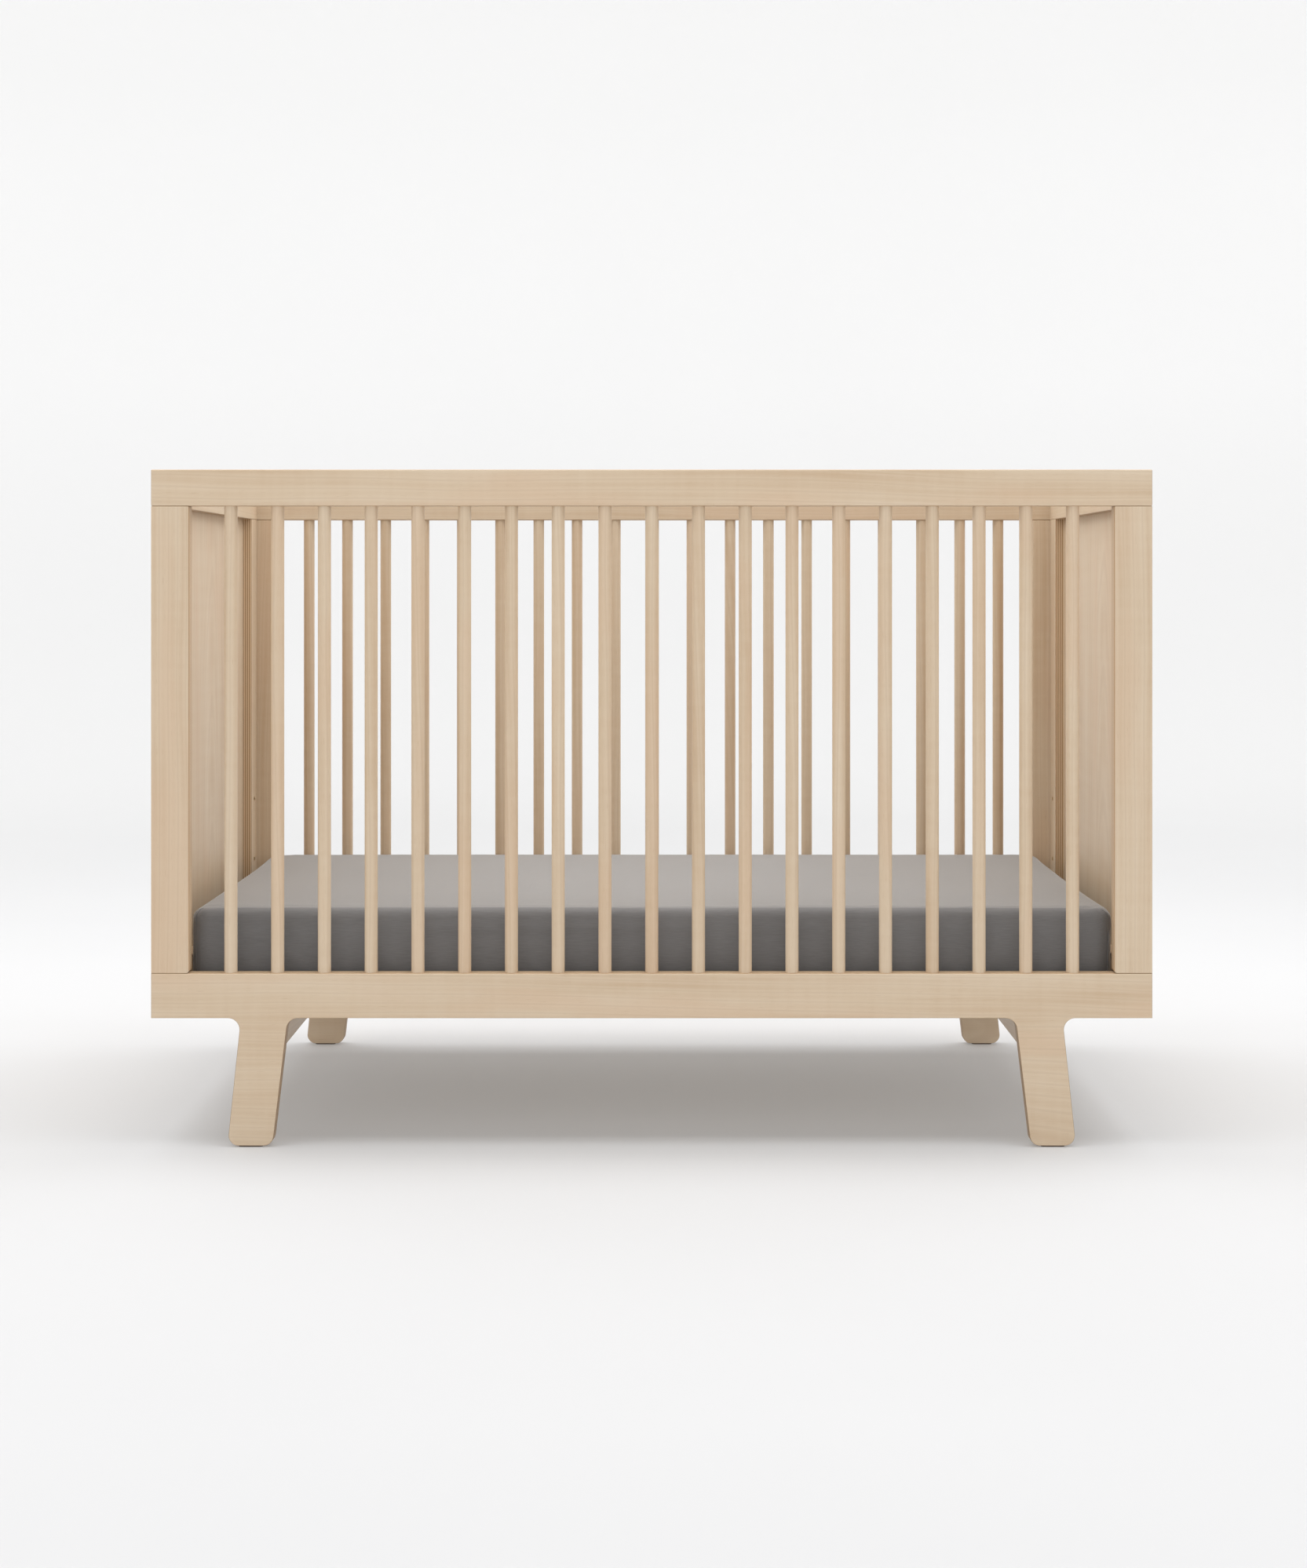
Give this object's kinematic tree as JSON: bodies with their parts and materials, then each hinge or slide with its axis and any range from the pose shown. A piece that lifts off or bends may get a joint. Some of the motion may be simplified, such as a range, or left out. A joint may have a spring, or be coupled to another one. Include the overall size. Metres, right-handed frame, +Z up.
{
  "type": "baby crib",
  "caption": "Pale birch baby crib with fixed round-spindle sides, panelled ends, splayed legs, a hook-on slatted platform and a mattress in a grey fitted sheet.",
  "frame": {"origin": "on the floor, under the centre of the crib's box", "axes": "+X along the crib's length, +Y from the front side to the back side, +Z up"},
  "size_m": [1.374, 0.755, 0.93],
  "materials": {
    "birch_plywood": "clear satin lacquer",
    "birch_spindle": "clear satin lacquer",
    "birch_panel": "clear satin lacquer",
    "birch_slat": "planed, unlacquered",
    "dowel_wood": "planed",
    "zinc_steel": "zinc plated",
    "hook_steel": "powder coated",
    "brass": "machined",
    "cover_plastic": "moulded",
    "glide_felt": "pressed felt",
    "mattress_cover": "woven ticking",
    "sheet_cotton": "brushed cotton jersey"
  },
  "bodies": {
    "frame": {"front_top_rail": "birch_plywood", "back_top_rail": "birch_plywood", "front_leg_rail": "birch_plywood", "back_leg_rail": "birch_plywood", "front_spindles": "birch_spindle", "back_spindles": "birch_spindle", "front_left_post": "birch_plywood", "front_right_post": "birch_plywood", "back_left_post": "birch_plywood", "back_right_post": "birch_plywood", "left_end_top_rail": "birch_plywood", "left_end_bottom_rail": "birch_plywood", "left_end_panel": "birch_panel", "left_end_front_post": "birch_plywood", "left_end_back_post": "birch_plywood", "left_leg_stretcher": "birch_plywood", "right_end_top_rail": "birch_plywood", "right_end_bottom_rail": "birch_plywood", "right_end_panel": "birch_panel", "right_end_front_post": "birch_plywood", "right_end_back_post": "birch_plywood", "right_leg_stretcher": "birch_plywood", "wood_dowels": "dowel_wood", "cam_dowels": "zinc_steel", "cam_locks": "zinc_steel", "cam_covers": "cover_plastic", "threaded_inserts": "brass", "support_studs": "zinc_steel", "stretcher_brackets": "zinc_steel", "stretcher_screws": "zinc_steel", "foot_glides": "glide_felt"},
    "platform": {"platform_front_rail": "birch_slat", "platform_back_rail": "birch_slat", "platform_left_end_rail": "birch_slat", "platform_right_end_rail": "birch_slat", "platform_bearer": "birch_slat", "slat_01": "birch_slat", "slat_02": "birch_slat", "slat_03": "birch_slat", "slat_04": "birch_slat", "slat_05": "birch_slat", "slat_06": "birch_slat", "slat_07": "birch_slat", "slat_08": "birch_slat", "slat_09": "birch_slat", "slat_10": "birch_slat", "slat_11": "birch_slat", "slat_12": "birch_slat", "slat_13": "birch_slat", "front_left_hook": "hook_steel", "front_right_hook": "hook_steel", "back_left_hook": "hook_steel", "back_right_hook": "hook_steel", "platform_dowels": "dowel_wood", "slat_screws": "zinc_steel", "hook_screws": "zinc_steel"},
    "mattress": {"mattress": "mattress_cover", "fitted_sheet": "sheet_cotton"}
  },
  "joints": [
    {"name": "platform_height", "type": "slide", "parent": "frame", "child": "platform", "axis": [0, 0, 1], "range_m": [0, 0.2]},
    {"name": "mattress_lift", "type": "slide", "parent": "platform", "child": "mattress", "axis": [0, 0, 1], "range_m": [0, 0.75]}
  ]
}
